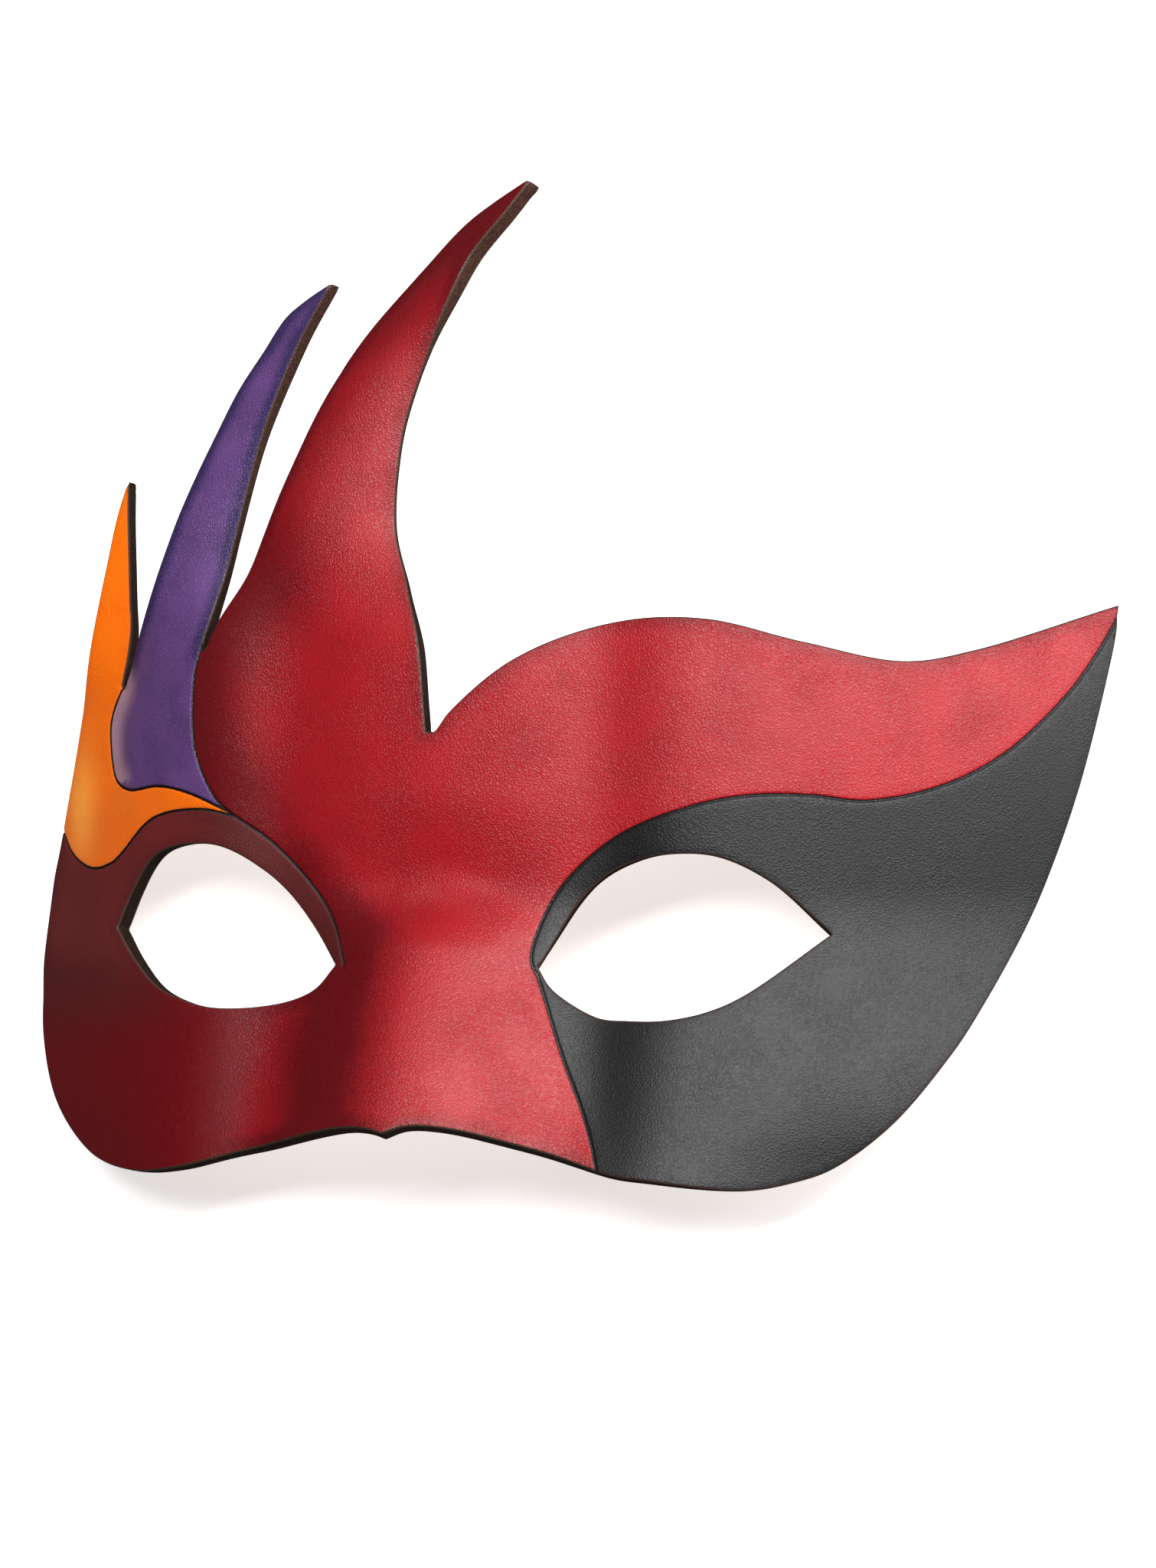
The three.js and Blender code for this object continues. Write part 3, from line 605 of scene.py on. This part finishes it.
# where the painted highlights lie: along the purple beside the outer horn, and a patch on the orange above
# the drop
HIGHLIGHT_REACH, HIGHLIGHT_FOOT_Y, HIGHLIGHT_END_X = (5.5, 0.8), 30, -60
ORANGE_HIGHLIGHT, ORANGE_HIGHLIGHT_HALF = (-76, 26), (4, 9)
in_reach = (orange_line[:, 0] < HIGHLIGHT_END_X) & (orange_line[:, 1] > HIGHLIGHT_FOOT_Y)
below_gap = orange_line[in_reach]
purple_highlight = between(distance_to([below_gap], flat), HIGHLIGHT_REACH) * (flat[:, 1] > HIGHLIGHT_FOOT_Y)
from_patch = (flat - ORANGE_HIGHLIGHT) / ORANGE_HIGHLIGHT_HALF
orange_highlight = np.exp(-(from_patch ** 2).sum(axis=1))
painted_highlight = np.where(inside(purple_area, flat), purple_highlight, orange_highlight)
store("painted_highlight", on_all(painted_highlight))
print("points with a mostly rubbed coat:", int((painted_shade > 0.5).sum()))
print("points buffed light:", int((painted_highlight > 0.5).sum()))

# %% [markdown]
# The grain. Vegetable-tanned leather shows fine pebbles, about half a millimetre across, parted by
# creases. A displaced mesh would need millions of faces for that, so it is a bump height made from
# Voronoi cells whose borders are bent by noise. It is a group, since all four dyes share one hide,
# and it gives the creases as a mask too, because dye gathers in them.

# %% A small helper for node trees, and the grain group
class Wires:
    """Adds nodes to a tree and wires them, so that a group reads from top to bottom."""

    def __init__(self, tree):
        self.tree = tree

    def add(self, kind, inputs=(), **settings):
        node = self.tree.nodes.new(kind)
        for key, value in settings.items():
            setattr(node, key, value)
        for key, value in dict(inputs).items():
            if isinstance(value, bpy.types.NodeSocket):
                self.tree.links.new(value, node.inputs[key])
            else:
                node.inputs[key].default_value = value
        return node

    def math(self, operation, a, b=0.0, clamp=False):
        return self.add("ShaderNodeMath", {0: a, 1: b}, operation=operation, use_clamp=clamp).outputs[0]

    def ramp(self, value, start, end, low=0.0, high=1.0):
        spans = {0: value, 1: start, 2: end, 3: low, 4: high}
        return self.add("ShaderNodeMapRange", spans, interpolation_type="SMOOTHSTEP").outputs[0]

    def mix(self, share, a, b, blend="MIX"):
        node = self.add("ShaderNodeMix", data_type="RGBA", blend_type=blend)
        for key, value in ((0, share), (6, a), (7, b)):
            if isinstance(value, bpy.types.NodeSocket):
                self.tree.links.new(value, node.inputs[key])
            else:
                node.inputs[key].default_value = value
        return node.outputs[2]

    def noise(self, vector, scale, detail=2.0):
        inputs = {"Vector": vector, "Scale": scale, "Detail": detail}
        return self.add("ShaderNodeTexNoise", inputs).outputs["Fac"]

    def read(self, name):
        return self.add("ShaderNodeAttribute", attribute_name=name).outputs["Fac"]

    def millimetres(self):
        """The place on the hide, in millimetres."""
        place = self.add("ShaderNodeTexCoord").outputs["Object"]
        return self.add("ShaderNodeVectorMath", {0: place, 3: 1 / MM}, operation="SCALE").outputs[0]


def new_group(name, inputs, outputs):
    """A node group with named sockets. Colour inputs are given as tuples and values as numbers."""
    tree = bpy.data.node_groups.new(name, "ShaderNodeTree")
    for label, default in inputs.items():
        kind = "NodeSocketColor" if isinstance(default, tuple) else "NodeSocketFloat"
        tree.interface.new_socket(label, in_out="INPUT", socket_type=kind).default_value = default
    for label, kind in outputs.items():
        tree.interface.new_socket(label, in_out="OUTPUT", socket_type=kind)
    wires = Wires(tree)
    return wires, wires.add("NodeGroupInput").outputs, wires.add("NodeGroupOutput").inputs


COLOUR, VALUE = "NodeSocketColor", "NodeSocketFloat"

# how far the creases wander, how wide they are and how fine the dimples are, all counted in cells
BEND, BEND_SCALE = 1.1, 0.9
CREASE_WIDTH = 0.32
DIMPLE_SCALE, DIMPLE_DETAIL = 2.6, 3.0
# patches some 11 mm across in which the grain falls to this share of its height
PATCH_SCALE, PATCH_LEAST = 0.09, 0.55

wires, given, out = new_group(
    "leather_grain",
    {"Cell Size": 0.62, "Fine Share": 0.35},
    {"Height": VALUE, "Crease": VALUE},
)
place = wires.millimetres()
cells_per_mm = wires.math("DIVIDE", 1.0, given["Cell Size"])
cells = wires.add("ShaderNodeVectorMath", {0: place, 3: cells_per_mm}, operation="SCALE").outputs[0]
noise_inputs = {"Vector": cells, "Scale": BEND_SCALE, "Detail": 2.0}
bend = wires.add("ShaderNodeTexNoise", noise_inputs).outputs["Color"]
bend = wires.add("ShaderNodeVectorMath", {0: bend, 1: (-0.5, -0.5, -0.5)}, operation="ADD").outputs[0]
bend = wires.add("ShaderNodeVectorMath", {0: bend, 3: BEND}, operation="SCALE").outputs[0]
bent = wires.add("ShaderNodeVectorMath", {0: cells, 1: bend}, operation="ADD").outputs[0]
cell_inputs = {"Vector": bent, "Scale": 1.0}
border = wires.add("ShaderNodeTexVoronoi", cell_inputs, feature="DISTANCE_TO_EDGE").outputs["Distance"]
pebble = wires.ramp(border, 0.0, CREASE_WIDTH)
fine = wires.noise(cells, DIMPLE_SCALE, DIMPLE_DETAIL)
stretch = wires.ramp(wires.noise(place, PATCH_SCALE), 0.35, 0.7, PATCH_LEAST, 1.0)
both = wires.mix(given["Fine Share"], pebble, fine)
wires.tree.links.new(wires.math("MULTIPLY", both, stretch), out["Height"])
crease = wires.math("SUBTRACT", 1.0, pebble)
wires.tree.links.new(wires.math("MULTIPLY", crease, stretch), out["Crease"])
grain_group = wires.tree
print("grain group sockets:", [s.name for s in grain_group.interface.items_tree])

# %% [markdown]
# The dye. Spirit dye sinks unevenly: cloudy over the hide and deeper in the creases. It is darker
# near the cut edges, partly where the burnisher ran over and partly as painted shade where a
# rounded horn turns from the light, and a painted shade mask darkens it further where given. Each
# colour is the same recipe with its own two shades, so the recipe is a group and the shades are its
# inputs.

# %% The dye group
# clouds some 9 mm across and specks under 1 mm, how much of the unevenness is cloud, and how much
# deeper the dye is in a crease
CLOUD_SCALE, SPECK_SCALE, CLOUD_SHARE, CREASE_SHARE = 0.11, 1.3, 0.65, 0.35

wires, given, out = new_group(
    "brushed_dye",
    {"Dye": (0.4, 0.02, 0.03, 1.0), "Deep": (0.15, 0.004, 0.008, 1.0), "Cloud": 0.3, "Crease": 0.0,
     "Painted Shade": 0.0, "Edge Reach": 3.0, "Edge Shade": 0.5},
    {"Colour": COLOUR, "Roughness": VALUE},
)
place = wires.millimetres()
cloud = wires.ramp(wires.noise(place, CLOUD_SCALE, 4.0), 0.35, 0.7)
speck = wires.ramp(wires.noise(place, SPECK_SCALE, 3.0), 0.4, 0.75)
cloud = wires.math("MULTIPLY", cloud, CLOUD_SHARE)
cloud = wires.math("ADD", cloud, wires.math("MULTIPLY", speck, 1 - CLOUD_SHARE))
deep = wires.math("MULTIPLY", cloud, given["Cloud"])
deep = wires.math("ADD", deep, wires.math("MULTIPLY", given["Crease"], CREASE_SHARE))
# a painted shade mask darkens the dye further
deep = wires.math("ADD", deep, given["Painted Shade"])
# darker near the cut edge: burnish, and on the rounded purple horn painted shade as well
edge = wires.math("DIVIDE", wires.read("edge_mm"), given["Edge Reach"])
edge = wires.math("MULTIPLY", wires.ramp(edge, 0.0, 1.0, 1.0, 0.0), given["Edge Shade"])
deep = wires.math("ADD", deep, edge, clamp=True)
wires.tree.links.new(wires.mix(deep, given["Dye"], given["Deep"]), out["Colour"])
wires.tree.links.new(wires.ramp(speck, 0.0, 1.0, 0.0, 1.0), out["Roughness"])
dye_group = wires.tree
print("dye group sockets:", [s.name for s in dye_group.interface.items_tree])

# %% [markdown]
# Knife lines and cut edges. The lines were cut with a swivel knife and filled with black dye, and
# the cut edge was slicked with brown gum that creeps a little way onto the face. Both follow the
# stored distances, so they stay crisp at any size of the image.

# %% The line group
# a hand's wobble, and how softly the ink and the gum end, in millimetres
WOBBLE, WOBBLE_SCALE = 0.12, 1.6
INK_SOFT, GUM_SOFT = 0.1, 0.2

wires, given, out = new_group(
    "inked_lines",
    {"Colour": (0.4, 0.02, 0.03, 1.0), "Ink": (0.006, 0.004, 0.004, 1.0), "Gum": (0.05, 0.022, 0.014, 1.0),
     "Line Half Width": 0.19, "Gum Reach": 0.14},
    {"Colour": COLOUR, "Ink Mask": VALUE},
)
place = wires.millimetres()
wobble = wires.math("SUBTRACT", wires.noise(place, WOBBLE_SCALE), 0.5)
wobble = wires.math("MULTIPLY", wobble, WOBBLE)
line = wires.math("ADD", wires.read("line_mm"), wobble)
ink_end = wires.math("ADD", given["Line Half Width"], INK_SOFT)
ink = wires.ramp(line, given["Line Half Width"], ink_end, 1.0, 0.0)
rim_mm = wires.math("ADD", wires.read("edge_mm"), wobble)
gum_end = wires.math("ADD", given["Gum Reach"], GUM_SOFT)
gum = wires.ramp(rim_mm, given["Gum Reach"], gum_end, 1.0, 0.0)
colour = wires.mix(gum, given["Colour"], given["Gum"])
wires.tree.links.new(wires.mix(ink, colour, given["Ink"]), out["Colour"])
wires.tree.links.new(ink, out["Ink Mask"])
line_group = wires.tree
print("line group sockets:", [s.name for s in line_group.interface.items_tree])

# %% [markdown]
# The dyed leathers. Each is one Principled shader: the dye group gives the colour, the line group
# inks it, and the grain drives the bump. The finish is a satin wax, so the roughness is middling.

# %% Four dyed leathers
def new_material(name):
    material = bpy.data.materials.new(name)
    material.use_nodes = True
    wires = Wires(material.node_tree)
    shader = material.node_tree.nodes["Principled BSDF"]
    return material, wires, shader


def place_group(wires, group, inputs):
    node = wires.tree.nodes.new("ShaderNodeGroup")
    node.node_tree = group
    for key, value in inputs.items():
        if isinstance(value, bpy.types.NodeSocket):
            wires.tree.links.new(value, node.inputs[key])
        else:
            node.inputs[key].default_value = value
    return node.outputs


# the burgundy and its painted shade are duller than the red, and the red under the painted shade
# keeps only this share of its grain
BURGUNDY_AND_SHADE_ROUGHNESS, PAINTED_SHADE_GRAIN = 0.62, 0.4
# pebbles half a millimetre across, the share of fine dimples, and the relief in millimetres
GRAIN_CELL, GRAIN_FINE, GRAIN_HEIGHT = 0.5, 0.4, 0.2


def dyed_leather(name, dye, deep, cloud=0.3, roughness=(0.4, 0.48), edge_shade=0.4, specular=0.42,
                 grain_strength=0.55, second=None, painted_highlight=None):
    """A dyed leather. A second pair of shades, where given, takes over under the burgundy and painted
    shade mask.
    """
    material, wires, shader = new_material(name)
    grain = place_group(wires, grain_group, {"Cell Size": GRAIN_CELL, "Fine Share": GRAIN_FINE})
    shades = {"Cloud": cloud, "Crease": grain["Crease"], "Edge Shade": edge_shade, "Edge Reach": 3.0}
    # only the red takes the painted shade mask
    shades["Painted Shade"] = wires.read("painted_shade") if second else 0.0
    dyed = place_group(wires, dye_group, {"Dye": dye, "Deep": deep, **shades})
    colour = dyed["Colour"]
    if second:
        burgundy_and_shade_dye = place_group(wires, dye_group, {"Dye": second[0], "Deep": second[1], **shades})
        colour = wires.mix(wires.read("burgundy_and_shade"), colour, burgundy_and_shade_dye["Colour"])
    # a lighter colour is painted in as a highlight under its mask
    if painted_highlight:
        colour = wires.mix(wires.read("painted_highlight"), colour, painted_highlight)
    inked = place_group(wires, line_group, {"Colour": colour})
    wires.tree.links.new(inked["Colour"], shader.inputs["Base Color"])
    sheen = wires.ramp(dyed["Roughness"], 0.0, 1.0, *roughness)
    if second:
        sheen = wires.ramp(wires.read("burgundy_and_shade"), 0.0, 1.0, sheen, BURGUNDY_AND_SHADE_ROUGHNESS)
    wires.tree.links.new(sheen, shader.inputs["Roughness"])
    height = grain["Height"]
    if second:
        grain_left = wires.ramp(wires.read("painted_shade"), 0.0, 1.0, 1.0, PAINTED_SHADE_GRAIN)
        height = wires.math("MULTIPLY", height, grain_left)
    relief = {"Height": height, "Strength": grain_strength, "Distance": GRAIN_HEIGHT * MM}
    bump = wires.add("ShaderNodeBump", relief)
    wires.tree.links.new(bump.outputs["Normal"], shader.inputs["Normal"])
    shader.inputs["Specular IOR Level"].default_value = specular
    return material


def shade(red, green, blue):
    """A colour as read off a screen, 0 to 255, as the linear light that a shader wants."""
    shares = [c / 255 for c in (red, green, blue)]
    linear = [((c + 0.055) / 1.055) ** 2.4 if c > 0.04045 else c / 12.92 for c in shares]
    return (*linear, 1.0)


# the lid's burgundy dye, also used as painted shade over the left temple and cheek
BURGUNDY_AND_SHADE = (shade(108, 22, 22), shade(76, 10, 12))
leathers = [
    dyed_leather("red_leather", shade(164, 19, 28), shade(96, 2, 10), cloud=0.18, second=BURGUNDY_AND_SHADE),
    # the orange carries a painted highlight above the drop
    dyed_leather("orange_leather", shade(242, 110, 1), shade(226, 92, 1), cloud=0.2, edge_shade=0.15,
                 roughness=(0.5, 0.58), specular=0.15, painted_highlight=shade(255, 156, 52)),
    dyed_leather("black_leather", shade(12, 12, 13), shade(8, 8, 9), roughness=(0.46, 0.52),
                 grain_strength=0.3),
    # the purple is darker at its edges, partly burnish and partly painted shade of its rounded form, and
    # carries a painted highlight beside the outer horn
    dyed_leather("purple_leather", shade(102, 66, 124), shade(50, 35, 80), cloud=0.45, edge_shade=0.9,
                 painted_highlight=shade(168, 128, 144)),
]
print("leathers:", [leather.name for leather in leathers])

# %% [markdown]
# The cut edge and the back. The edge is fibre slicked down with brown gum, a little rough. The back
# is the flesh side, undyed and left plain as on the real mask, where it lies against the skin: a
# warm tan with a soft nap, so it takes a coarser noise than the grain and no gloss.

# %% The cut edge and the flesh side
def slicked_edge():
    material, wires, shader = new_material("slicked_edge")
    place = wires.millimetres()
    fibres = wires.noise(place, 2.2, 4.0)
    gummed = wires.mix(wires.ramp(fibres, 0.35, 0.7), shade(34, 20, 13), shade(20, 12, 8))
    worn = wires.mix(wires.ramp(fibres, 0.35, 0.7), shade(64, 37, 26), shade(36, 21, 15))
    colour = wires.mix(wires.read("worn_edge"), gummed, worn)
    wires.tree.links.new(colour, shader.inputs["Base Color"])
    shader.inputs["Roughness"].default_value = 0.75
    shader.inputs["Specular IOR Level"].default_value = 0.2
    bump = wires.add("ShaderNodeBump", {"Height": fibres, "Strength": 0.4, "Distance": 0.15 * MM})
    wires.tree.links.new(bump.outputs["Normal"], shader.inputs["Normal"])
    return material


def flesh_side():
    material, wires, shader = new_material("flesh_side")
    place = wires.millimetres()
    nap = wires.noise(place, 1.4, 5.0)
    cloud = wires.noise(place, 0.05, 3.0)
    colour = wires.mix(wires.ramp(cloud, 0.3, 0.7), shade(156, 112, 78), shade(128, 88, 60))
    colour = wires.mix(wires.ramp(nap, 0.3, 0.75, 0.0, 0.5), colour, shade(94, 62, 42))
    edge = wires.ramp(wires.read("edge_mm"), 0.2, 1.4, 0.8, 0.0)
    colour = wires.mix(edge, colour, shade(70, 44, 30))
    wires.tree.links.new(colour, shader.inputs["Base Color"])
    shader.inputs["Roughness"].default_value = 0.85
    bump = wires.add("ShaderNodeBump", {"Height": nap, "Strength": 0.5, "Distance": 0.25 * MM})
    wires.tree.links.new(bump.outputs["Normal"], shader.inputs["Normal"])
    return material


for material in leathers + [slicked_edge(), flesh_side()]:
    mesh.materials.append(material)
print("material slots:", [material.name for material in mesh.materials])

# %% [markdown]
# Floor and light. The photograph has soft studio light from panels: a tall narrow one in front and
# a little to the right, a large one far round on the right that whitens the wing, and a weak one
# overhead. They are placed round the face, so they are given in its millimetres and turned with it.
# The floor is a plain pale sheet that glows a little, so that the shadow on it stays soft, and it is
# kept out of reflections, since the photograph's ground was cut out.

# %% Floor, sky and panels
HALF_FLOOR, PAPER_SHADE, PAPER_GLOW, SKY = 3.0, 0.86, 0.65, 0.04

floor_mesh = bpy.data.meshes.new("floor")
floor_corners = [(-HALF_FLOOR, -HALF_FLOOR, 0), (HALF_FLOOR, -HALF_FLOOR, 0),
                 (HALF_FLOOR, HALF_FLOOR, 0), (-HALF_FLOOR, HALF_FLOOR, 0)]
floor_mesh.from_pydata(floor_corners, [], [(0, 1, 2, 3)])
floor = bpy.data.objects.new("floor", floor_mesh)
bpy.context.collection.objects.link(floor)
floor.visible_glossy = False
paper, _, paper_shader = new_material("pale_paper")
paper_shader.inputs["Base Color"].default_value = (PAPER_SHADE, PAPER_SHADE, PAPER_SHADE, 1)
paper_shader.inputs["Roughness"].default_value = 0.9
paper_shader.inputs["Emission Color"].default_value = (1, 1, 1, 1)
paper_shader.inputs["Emission Strength"].default_value = PAPER_GLOW
floor_mesh.materials.append(paper)

world = bpy.data.worlds.new("soft_sky")
world.use_nodes = True
world.node_tree.nodes["Background"].inputs["Color"].default_value = (1, 1, 1, 1)
world.node_tree.nodes["Background"].inputs["Strength"].default_value = SKY
bpy.context.scene.world = world


def aim(obj, target):
    direction = Vector(target) - obj.location
    obj.rotation_mode = "QUATERNION"
    obj.rotation_quaternion = direction.to_track_quat("-Z", "Y")


FACE_MIDDLE, PANEL_DISTANCE = (0, 30, 0), 900


def around_face(azimuth, elevation):
    """A place round the face: azimuth towards the viewer's right, elevation towards the brow."""
    a, e = math.radians(azimuth), math.radians(elevation)
    away = np.array([math.sin(a) * math.cos(e), math.sin(e), math.cos(a) * math.cos(e)])
    return lay(np.array(FACE_MIDDLE) + PANEL_DISTANCE * away)


def panel(name, azimuth, elevation, size, power):
    """A soft light turned to the face. Its size is in millimetres and its power in watts."""
    light = bpy.data.lights.new(name, "AREA")
    light.shape, light.size, light.size_y = "RECTANGLE", size[0] * MM, size[1] * MM
    light.energy = power
    obj = bpy.data.objects.new(name, light)
    bpy.context.collection.objects.link(obj)
    obj.location = Vector(around_face(azimuth, elevation))
    aim(obj, lay(FACE_MIDDLE))


panel("front_panel", 26, 21, (180, 860), 12)
panel("side_panel", 80, 20, (460, 900), 7.4)
panel("top_panel", -12, 52, (700, 500), 1.5)
print("lights:", [light.name for light in bpy.data.lights])

# %% [markdown]
# The camera stands where the photographer stood: level with the face, about a metre away and 24
# degrees round towards the wing. Its lens is worked out from the image's height in pixels.

# %% Camera
CAMERA_AZIMUTH, CAMERA_DISTANCE, CAMERA_AIM = math.radians(24), 1050, np.array([25.2, 29.75, 0])
IMAGE_HEIGHT, FOCAL_PIXELS = 2048, 8400
view_back = np.array([math.sin(CAMERA_AZIMUTH), 0, math.cos(CAMERA_AZIMUTH)])
camera_data = bpy.data.cameras.new("camera")
camera_data.sensor_width = 36
camera_data.lens = camera_data.sensor_width * FOCAL_PIXELS / IMAGE_HEIGHT
camera_data.clip_start, camera_data.clip_end = 0.05, 10
camera = bpy.data.objects.new("camera", camera_data)
bpy.context.collection.objects.link(camera)
z_axis = turn @ view_back
y_axis = turn @ np.array([0.0, 1.0, 0.0])
x_axis = np.cross(y_axis, z_axis)
pose = Matrix.Identity(4)
for row in range(3):
    pose[row][0], pose[row][1], pose[row][2] = x_axis[row], y_axis[row], z_axis[row]
pose.translation = Vector(lay(CAMERA_AIM + CAMERA_DISTANCE * view_back))
camera.matrix_world = pose
bpy.context.scene.camera = camera
bpy.context.scene.view_settings.view_transform = "Standard"
print("camera at", [round(v, 3) for v in camera.location], "lens %.1f mm" % camera_data.lens)
